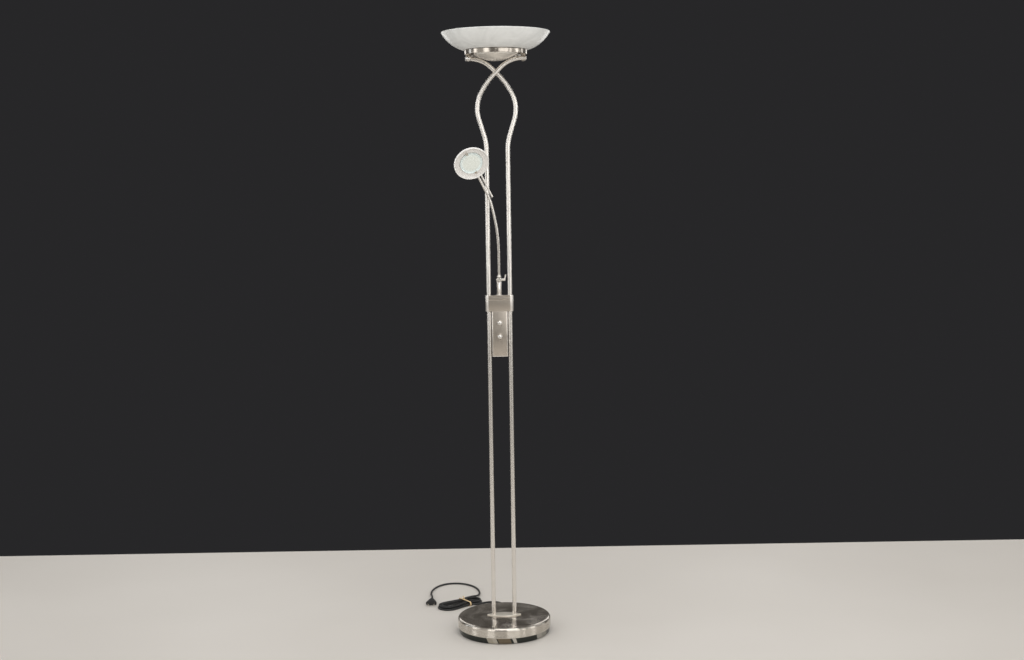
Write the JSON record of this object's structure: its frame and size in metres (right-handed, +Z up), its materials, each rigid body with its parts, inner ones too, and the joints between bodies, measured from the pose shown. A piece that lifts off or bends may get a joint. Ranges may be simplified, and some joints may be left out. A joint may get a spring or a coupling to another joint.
{
  "type": "torchiere floor lamp with reading light",
  "caption": "Twin-pole torchiere with a glass uplighter bowl, a dimmer box and a small jointed reading head on a curved arm.",
  "frame": {"origin": "centre of the base on the floor", "axes": "+Z up, +X to the right of someone facing the switches, -Y towards them"},
  "size_m": [0.4131, 0.682, 1.8],
  "materials": {
    "polished_nickel": "polished warm nickel",
    "satin_nickel": "satin brushed warm nickel",
    "zinc_steel": "zinc plated",
    "cast_iron": "as cast, painted",
    "felt": "pressed felt",
    "bronze_bush": "sintered",
    "dark_plastic": "moulded",
    "nylon": "moulded",
    "frosted_glass": "frosted white",
    "lens_glass": "clear, slightly green",
    "ceramic": "unglazed ceramic",
    "spring_brass": "dull",
    "black_cord": "smooth sheath",
    "paper_tie": "paper over wire",
    "plug_brass": "nickel plated"
  },
  "bodies": {
    "stand": {"ball_nuts": "polished_nickel", "base_cover": "polished_nickel", "base_pads": "felt", "base_plinth": "polished_nickel", "base_spacers": "zinc_steel", "base_weight": "cast_iron", "bowl_gasket": "felt", "box_back": "satin_nickel", "box_front": "satin_nickel", "box_screws": "zinc_steel", "cord_gland": "black_cord", "cord_hank": "black_cord", "cord_lead": "black_cord", "cord_loop": "black_cord", "foot_plate": "satin_nickel", "gallery_ring": "polished_nickel", "glass_bowl": "frosted_glass", "halogen_tube": "lens_glass", "lamp_bridge": "zinc_steel", "lamp_pan": "satin_nickel", "lamp_sockets": "ceramic", "lower_dimmer": "dark_plastic", "lug_bolts": "satin_nickel", "pan_screws": "zinc_steel", "plug_body": "black_cord", "plug_pins": "plug_brass", "pole_couplers": "zinc_steel", "pole_end_caps": "satin_nickel", "pole_lower_left": "satin_nickel", "pole_lower_right": "satin_nickel", "pole_studs": "zinc_steel", "pole_upper_back": "satin_nickel", "pole_upper_front": "satin_nickel", "post_bush": "bronze_bush", "stud_nuts": "zinc_steel", "terminal_block": "nylon", "twist_tie": "paper_tie", "upper_dimmer": "dark_plastic"},
    "post": {"arm_post": "satin_nickel", "post_ring": "satin_nickel", "knuckle_bolt": "satin_nickel"},
    "clamp": {"clamp_lever": "satin_nickel"},
    "arm": {"arm": "satin_nickel", "arm_root": "satin_nickel", "swivel_stud": "satin_nickel"},
    "fork": {"head_fork": "satin_nickel", "head_pin": "polished_nickel"},
    "head": {"head_cup": "satin_nickel", "head_shade": "frosted_glass", "head_lens": "lens_glass", "head_clips": "spring_brass", "head_screws": "zinc_steel", "head_socket": "ceramic", "head_bulb": "lens_glass", "aim_rod": "satin_nickel"},
    "upper_control": {"upper_shaft": "zinc_steel", "upper_knob": "polished_nickel"},
    "lower_control": {"lower_shaft": "zinc_steel", "lower_knob": "polished_nickel"}
  },
  "joints": [
    {"name": "arm_swivel", "type": "hinge", "parent": "stand", "child": "post", "pos_m": [0, 0, 1.05], "axis": [0, 0, 1], "range_deg": [-25, 60]},
    {"name": "clamp_turn", "type": "hinge", "parent": "post", "child": "clamp", "pos_m": [0, 0, 1.0728], "axis": [1, 0, 0], "range_deg": [-35, 35]},
    {"name": "arm_tilt", "type": "hinge", "parent": "post", "child": "arm", "pos_m": [0, 0, 1.0728], "axis": [1, 0, 0], "range_deg": [0, 60]},
    {"name": "head_swivel", "type": "hinge", "parent": "arm", "child": "fork", "pos_m": [-0.08671, -0.04711, 1.44052], "axis": [-0.4384, -0.1142, 0.8915], "range_deg": [-60, 60]},
    {"name": "head_tilt", "type": "hinge", "parent": "fork", "child": "head", "pos_m": [-0.08671, -0.04711, 1.44052], "axis": [0.8974, 0, 0.4413], "range_deg": [-65, 8]},
    {"name": "upper_dimmer_turn", "type": "hinge", "parent": "stand", "child": "upper_control", "pos_m": [0, -0.0105, 0.945], "axis": [0, 1, 0], "range_deg": [0, 270]},
    {"name": "lower_dimmer_turn", "type": "hinge", "parent": "stand", "child": "lower_control", "pos_m": [0, -0.0105, 0.904], "axis": [0, 1, 0], "range_deg": [0, 270]}
  ]
}
